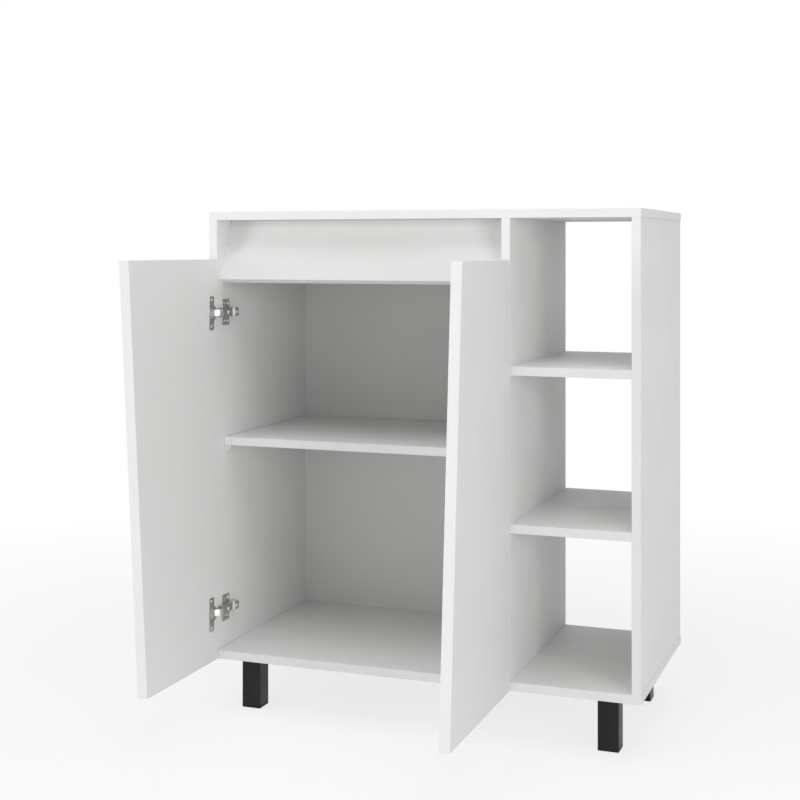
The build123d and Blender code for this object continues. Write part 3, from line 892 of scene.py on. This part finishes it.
@dataclass
class Hinge:
    """A concealed hinge, worked out as (into the compartment, forward of the front edge, up)."""

    side: str
    level: str
    panel: str
    inward: int
    door: Body
    gauge: float = 1.2 * MM
    edge: float = 0.35 * MM
    rim: float = 13.9 * MM
    rim_gauge: float = 0.5 * MM
    rim_edge: float = 0.15 * MM
    round_steps: int = 48
    cup: float = 13.0 * MM
    bowl: float = 12.3 * MM
    bowl_foot: float = 2.0 * MM
    foot_steps: int = 5
    mouth_half: float = 9.6 * MM
    flange_width: float = 18.0 * MM
    flange_corner: float = 4.0 * MM
    ear: float = 3.2 * MM
    ear_edge: float = 0.2 * MM
    eye: float = 1.9 * MM
    eye_turn: Flat = (390.0, 90.0)
    play: float = 0.3 * MM
    neck: float = 11.6 * MM
    neck_rise: float = 10.6 * MM
    neck_lean: float = 45.0
    neck_bends: Flat = (4.0 * MM, 4.0 * MM)
    neck_flare: float = 2.0 * MM
    arm: float = 16.5 * MM
    arm_front: float = -2.5 * MM
    arm_foot: float = 2.3 * MM
    shoulder: float = 2.6 * MM
    clip_rise: float = 4.0 * MM
    clip_run: float = 15.0 * MM
    clip_ramp: float = 0.8 * MM
    plate_gauge: float = 2.0 * MM
    plate_corner: float = 3.0 * MM
    plate_back: float = 8.0 * MM
    ridge: float = 12.0 * MM
    ridge_corner: float = 1.5 * MM
    slot_front: float = 10.1 * MM
    slot_rise: float = 16.0 * MM
    slot: Flat = (7.4 * MM, 3.1 * MM)
    slot_round: float = 1 / 2.01
    fold_segments: int = 3
    fold_limit: float = 40.0

    def __post_init__(self) -> None:
        """Read the hinge's place from the CAD nodes."""
        low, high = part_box(self.panel)
        self.outer = low.x if self.inward > 0 else high.x
        self.front = low.y
        low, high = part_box(self.node("pin"))
        pin = (low + high) / 2
        self.height = pin.z
        self.pin_half = (high.z - low.z) / 2
        self.pin = ((pin.x - self.outer) * self.inward, self.front - pin.y)

    def node(self, part: str) -> str:
        """Name the CAD node of one of the hinge's parts."""
        return f"{self.side}_{self.level}_hinge_{part}"

    def span(self, part: str) -> tuple[Vector, Vector]:
        """Give a part's lowest and highest corners in the hinge's own axes.

        Args:
            part: The part.

        Returns:
            The corners.
        """
        low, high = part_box(self.node(part))
        near, far = sorted((corner.x - self.outer) * self.inward for corner in (low, high))
        start = Vector((near, self.front - high.y, low.z - self.height))
        return start, Vector((far, self.front - low.y, high.z - self.height))

    def add(self, part: str, meshes: Sequence[Mesh], finishes: Sequence[PlatedSteel], body: Body) -> None:
        """Put a part's meshes in place as one piece.

        Args:
            part: The part, which the piece stands for.
            meshes: Its meshes in the hinge's own axes.
            finishes: The finish of each mesh.
            body: The body that carries the piece.
        """
        mesh = joined(meshes, self.node(part) + "_pressing")
        mirror = Matrix.Diagonal((self.inward, -1, 1, 1))
        mesh.transform(Matrix.Translation((self.outer, self.front, self.height)) @ mirror)
        if mirror.determinant() < 0:
            mesh.flip_normals()
        for number, finish in enumerate(finishes):
            mesh.materials.append(finish.material(f"{mesh.name}_finish_{number}"))
        soften(mesh)
        add_piece(mesh.name, mesh, body, [self.node(part)])

    def build(self) -> None:
        """Build the cup, the arm and the mounting plate, and finish the pin."""
        paint(self.node("pin"), NICKEL.material(self.node("pin") + "_finish"))
        self.build_cup()
        self.build_arm()
        self.build_plate()

    def build_cup(self) -> None:
        """Build the flange and the rim with their mouth, the drawn cup, and the ears that hold the pin."""
        low, high = self.span("cup")
        middle = (low.y + self.rim, 0.0)
        face = high.x - self.gauge
        lift = math.degrees(math.asin(self.mouth_half / self.bowl))
        sides = [arc(middle, self.bowl, turn - lift, turn + lift, steps=12) for turn in (0, 180)]
        mouth = sides[0] + sides[1]
        strip = rounded_rectangle((high.y - self.flange_width, low.z), (high.y, high.z), self.flange_corner)
        flange = self.pierced(strip, mouth, face)
        edge = circle(middle, self.rim, self.round_steps)
        rim = pressed_sheet([edge, mouth], face, self.rim_gauge, self.rim_edge)
        ears = [self.ear_plate(sign, low.x) for sign in (-1, 1)]
        meshes = [flange, rim, self.drawn_cup(low.x, face, middle[0]), *ears]
        self.add("cup", meshes, [NICKEL] * 2 + [SATIN_NICKEL] * 3, self.door)

    def pierced(self, outline: list[Flat], mouth: list[Flat], base: float) -> Mesh:
        """Press a strip whose rear edge the mouth breaks through.

        Args:
            outline: The strip's outline.
            mouth: The mouth's outline.
            base: Where the strip's underside lies.

        Returns:
            The mesh.
        """
        rear = min(spot[0] for spot in outline)
        rise = max(spot[1] for spot in mouth)
        inner = sorted((spot for spot in mouth if spot[0] > rear), key=lambda spot: spot[1], reverse=True)
        corner = len(outline) // 2
        notched = [*outline[:corner], (rear, rise), *inner, (rear, -rise), *outline[corner:]]
        return pressed_sheet([notched], base, self.gauge, self.edge)

    def drawn_cup(self, bottom: float, face: float, middle: float) -> Mesh:
        """Turn the cup, a thin bowl with a rounded foot.

        Args:
            bottom: Where its outer floor lies.
            face: Where its mouth lies.
            middle: How far forward its axis lies.

        Returns:
            The mesh.
        """
        foot, steps = self.bowl_foot, self.foot_steps
        floor = bottom + (self.cup - self.bowl)
        outer = arc((self.cup - foot, bottom + foot), foot, -90, 0, steps)
        inner = arc((self.bowl - foot, floor + foot), foot, 0, -90, steps)
        profile = [(0.0, bottom), *outer, (self.cup, face), (self.bowl, face), *inner, (0.0, floor)]
        rows = []
        for forward, up in arc((0.0, 0.0), 1.0, 0, 360, self.round_steps):
            rows.append([(along, middle + radius * forward, radius * up) for radius, along in profile])
        cells = skinned(rows)
        bmesh.ops.remove_doubles(cells, verts=cells.verts, dist=MERGE)
        return sealed(cells, "drawn_cup")

    def ear_plate(self, sign: int, bottom: float) -> Mesh:
        """Cut one ear, which stands in the cup beside the arm's eye and holds an end of the pin.

        Args:
            sign: 1 for the upper ear, -1 for the lower.
            bottom: Where the cup's floor lies.

        Returns:
            The mesh.
        """
        reach = self.ear
        into, forward = self.pin
        foot = bottom + self.cup - self.bowl
        tip = arc((into, forward), reach, -90, 90, steps=10)[1:-1]
        outline = [(foot, forward - reach), (into, forward - reach), *tip]
        outline += [(into, forward + reach), (foot, forward + reach)]
        inner = self.neck / 2 + self.play
        start = inner if sign > 0 else -self.pin_half
        mesh = pressed_sheet([outline], start, self.pin_half - inner, self.ear_edge)
        mesh.transform(Matrix(((0, 1, 0, 0), (0, 0, 1, 0), (1, 0, 0, 0), (0, 0, 0, 1))))
        return mesh

    def build_arm(self) -> None:
        """Fold the arm from sheet: an eye round the pin, a leaning neck, a channel and a raised clip."""
        low, high = self.span("arm")
        skin = self.gauge / 2
        top = high.x - self.clip_rise - skin
        clip = high.x - skin
        rise = low.y + self.clip_run
        front = self.pin[1] + self.eye
        start = self.pin[0] + self.neck_rise
        lean = front - (top - start) * math.tan(math.radians(self.neck_lean))
        flare = self.arm_front + self.neck_flare
        corners = [(self.pin[0], front), (start, front), (top, lean), (top, flare)]
        path = arc(self.pin, self.eye, *self.eye_turn, steps=20)[:-1] + filleted(corners, self.neck_bends)
        half = self.arm / 2 - skin
        stations = [(spot, self.neck / 2) for spot in path]
        stations.append(((top, self.arm_front), half - self.shoulder / 2))
        neck = [[(*spot, reach * sign) for sign in (-1, 1)] for spot, reach in stations]
        ramp = self.clip_ramp / 2
        back = [(top, self.arm_front), (top, rise + ramp), (clip, rise - ramp), (clip, low.y)]
        foot = self.span("plate")[0].x + self.arm_foot
        meshes = [self.folded(neck, "neck"), self.channel(back, half, foot)]
        self.add("arm", meshes, [SATIN_NICKEL, NICKEL], Body.CARCASS)

    def channel(self, stations: Sequence[Flat], half: float, foot: float) -> Mesh:
        """Fold a channel with its two walls towards the panel.

        Args:
            stations: Spots along the channel's back.
            half: Half its width, to the middle of the walls.
            foot: Where the walls end.

        Returns:
            The mesh, with its thickness.
        """
        rows = []
        for into, forward in stations:
            corners = [(foot, -half), (into, -half), (into, half), (foot, half)]
            folds = filleted(corners, (self.shoulder, self.shoulder))
            rows.append([(depth, forward, up) for depth, up in folds])
        return self.folded(rows, "channel")

    def folded(self, rows: Sequence[Sequence[Spot]], name: str) -> Mesh:
        """Make sheet over rows of spots, with its gauge and rounded folds.

        Args:
            rows: Spots across the sheet's middle surface, row after row along it.
            name: Name of the mesh.

        Returns:
            The mesh.
        """
        source = placed(name, sealed(skinned(rows), name))
        gauge = source.modifiers.new("gauge", "SOLIDIFY")
        gauge.thickness = self.gauge
        gauge.offset = 0.0
        gauge.use_even_offset = True
        fold = source.modifiers.new("fold", "BEVEL")
        fold.width = self.edge
        fold.segments = self.fold_segments
        fold.angle_limit = math.radians(self.fold_limit)
        return evaluated_mesh(source)

    def build_plate(self) -> None:
        """Build the mounting plate: wings pierced by slots, and the ridge that the arm clips on."""
        low, high = self.span("plate")
        back = low.y + self.plate_back
        outlines = [rounded_rectangle((back, low.z), (high.y, high.z), self.plate_corner)]
        half = Vector(self.slot) / 2
        for sign in (-1, 1):
            middle = Vector((high.y - self.slot_front, sign * self.slot_rise))
            ends = tuple(middle - half), tuple(middle + half)
            outlines.append(rounded_rectangle(*ends, self.slot[1] * self.slot_round, steps=6))
        wings = pressed_sheet(outlines, low.x, self.plate_gauge, self.edge)
        bar = rounded_rectangle((low.y, -self.ridge / 2), (high.y, self.ridge / 2), self.ridge_corner)
        ridge = pressed_sheet([bar], low.x, high.x - low.x, self.edge)
        self.add("plate", [wings, ridge], [NICKEL] * 2, Body.CARCASS)


@dataclass(frozen=True)
class Lamp:
    """A large soft lamp."""

    name: str
    place: Spot
    power: float
    size: float


@dataclass
class Studio:
    """Camera, soft light, white surround and pale floor."""

    lens: float = 64.28
    eye: Spot = (0.8344, -2.3567, 0.841)
    yaw: float = 20.322
    drop: float = -0.189
    ambient: float = 0.40
    lamps: tuple[Lamp, ...] = (Lamp("left", (-3.1, -2.9, 1.0), 42.0, 1.5),
                               Lamp("right", (3.0, -3.0, 1.0), 47.0, 1.5),
                               Lamp("top", (0.2, -0.9, 3.9), 70.0, 3.4))
    aim: Spot = (0.0, 0.1, 0.5)
    floor_colour: Colour = (0.90, 0.90, 0.90)
    floor_half: float = 12.0
    floor_fade: Flat = (0.9, 2.2)
    floor_lift: float = 0.75
    floor_matt: float = 0.9
    floor_sheen: float = 0.1

    def build(self) -> None:
        """Set up the view, the light and the floor."""
        bpy.context.scene.view_settings.view_transform = "Standard"
        self.build_camera()
        self.build_world()
        for lamp in self.lamps:
            self.build_lamp(lamp)
        self.build_floor()

    def build_camera(self) -> None:
        """Place the camera at the photograph's viewpoint, level, with the horizon above the middle."""
        camera = bpy.data.cameras.new("camera")
        camera.lens = self.lens
        camera.shift_y = self.drop
        holder = placed("camera", camera)
        holder.location = self.eye
        holder.rotation_euler = (math.pi / 2, 0.0, math.radians(self.yaw))
        bpy.context.scene.camera = holder

    def build_world(self) -> None:
        """Surround the scene with soft light that shows as plain white."""
        world = bpy.data.worlds.new("surround")
        world.use_nodes = True
        bpy.context.scene.world = world
        graph = NodeGraph(world.node_tree)
        soft = graph.tree.nodes["Background"]
        soft.inputs["Color"].default_value = WHITE
        soft.inputs["Strength"].default_value = self.ambient
        white = graph.add("ShaderNodeBackground", {"Color": WHITE})
        graph.blend("World Output", graph.shown(), soft, white)

    def build_lamp(self, lamp: Lamp) -> None:
        """Hang a lamp and turn it to the cabinet.

        Args:
            lamp: The lamp.
        """
        light = bpy.data.lights.new(lamp.name, "AREA")
        light.energy = lamp.power
        light.size = lamp.size
        holder = placed(lamp.name, light)
        holder.location = lamp.place
        holder.rotation_euler = (Vector(self.aim) - Vector(lamp.place)).to_track_quat("-Z", "Y").to_euler()

    def build_floor(self) -> None:
        """Lay a pale floor that keeps the shadow and fades to the white surround."""
        half = self.floor_half
        mesh = bpy.data.meshes.new("floor")
        corners = [(-half, -half, 0), (half, -half, 0), (half, half, 0), (-half, half, 0)]
        mesh.from_pydata(corners, [], [(0, 1, 2, 3)])
        floor = placed("floor", mesh)
        graph = ShaderGraph("floor_paint")
        graph.dress({"Base Color": (*self.floor_colour, 1.0), "Roughness": self.floor_matt,
                     "Specular IOR Level": self.floor_sheen})
        distance = graph.add("ShaderNodeVectorMath", {0: graph.place}, operation="LENGTH").outputs["Value"]
        fade = graph.spread(distance, self.floor_lift, 1.0, *self.floor_fade)
        share = graph.math("MULTIPLY", fade, graph.shown())
        white = graph.add("ShaderNodeEmission", {"Strength": 1.0})
        graph.blend("Material Output", share, graph.shader, white)
        mesh.materials.append(graph.material)


def fastener_rows() -> list[FastenerRow]:
    """List the fasteners whose heads show.

    Returns:
        The rows, one for each kind and body.
    """
    hinge_screw = {"slot": Slot.NICKEL_STEEL, "drive": Drive.CROSS, "finish": SCREW_NICKEL, "head": 3.6 * MM,
                   "shank": 1.75 * MM, "recess": 4.2 * MM}
    cup_screw = {"head_height": 0.8 * MM, "shank_length": 12.0 * MM, **hinge_screw}
    fixing = {"body": Body.CARCASS, "slot": Slot.ZINC_STEEL, "finish": ZINC}
    return [
        FastenerRow("left_cup_screw_row", "left_cup_screws", Body.LEFT_DOOR, **cup_screw),
        FastenerRow("right_cup_screw_row", "right_cup_screws", Body.RIGHT_DOOR, **cup_screw),
        FastenerRow("plate_screw_row", "plate_screws", Body.CARCASS, head_height=1.8 * MM,
                    shank_length=12.0 * MM, **hinge_screw),
        FastenerRow("arm_screw_row", "arm_screws", Body.CARCASS, head_height=1.8 * MM,
                    shank_length=3.0 * MM, **hinge_screw),
        FastenerRow("frame_screw_row", "frame_screws", drive=Drive.HEXAGON, head=5.0 * MM,
                    head_height=2.0 * MM, shank=3.4 * MM, shank_length=40.0 * MM, recess=4.0 * MM,
                    slot_depth=1.8 * MM, crown=0.96, **fixing),
        FastenerRow("back_panel_nail_row", "back_panel_nails", drive=Drive.PLAIN, head=2.2 * MM,
                    head_height=0.8 * MM, shank=0.8 * MM, shank_length=16.0 * MM, recess=0.0,
                    segments=16, **fixing),
        FastenerRow("cam_disc_row", "cam_discs", drive=Drive.CROSS, head=7.5 * MM, head_height=0.6 * MM,
                    shank=7.2 * MM, shank_length=11.0 * MM, recess=8.0 * MM, slot_width=1.8 * MM,
                    slot_depth=2.4 * MM, crown=0.95, **fixing),
    ]


def main() -> None:
    """Dress the cabinet, build its hinges and fasteners, and set up the studio."""
    logging.basicConfig(level=logging.INFO, format="%(name)s: %(message)s")
    Carcass().dress()
    Doors().dress()
    Legs().dress()
    sides = (("left", "left_side_panel", 1, Body.LEFT_DOOR),
             ("right", "divider_panel", -1, Body.RIGHT_DOOR))
    for side, panel, inward, door in sides:
        for level in ("upper", "lower"):
            Hinge(side, level, panel, inward, door).build()
    for row in fastener_rows():
        row.build()
    Studio().build()


if __name__ == "__main__":
    main()
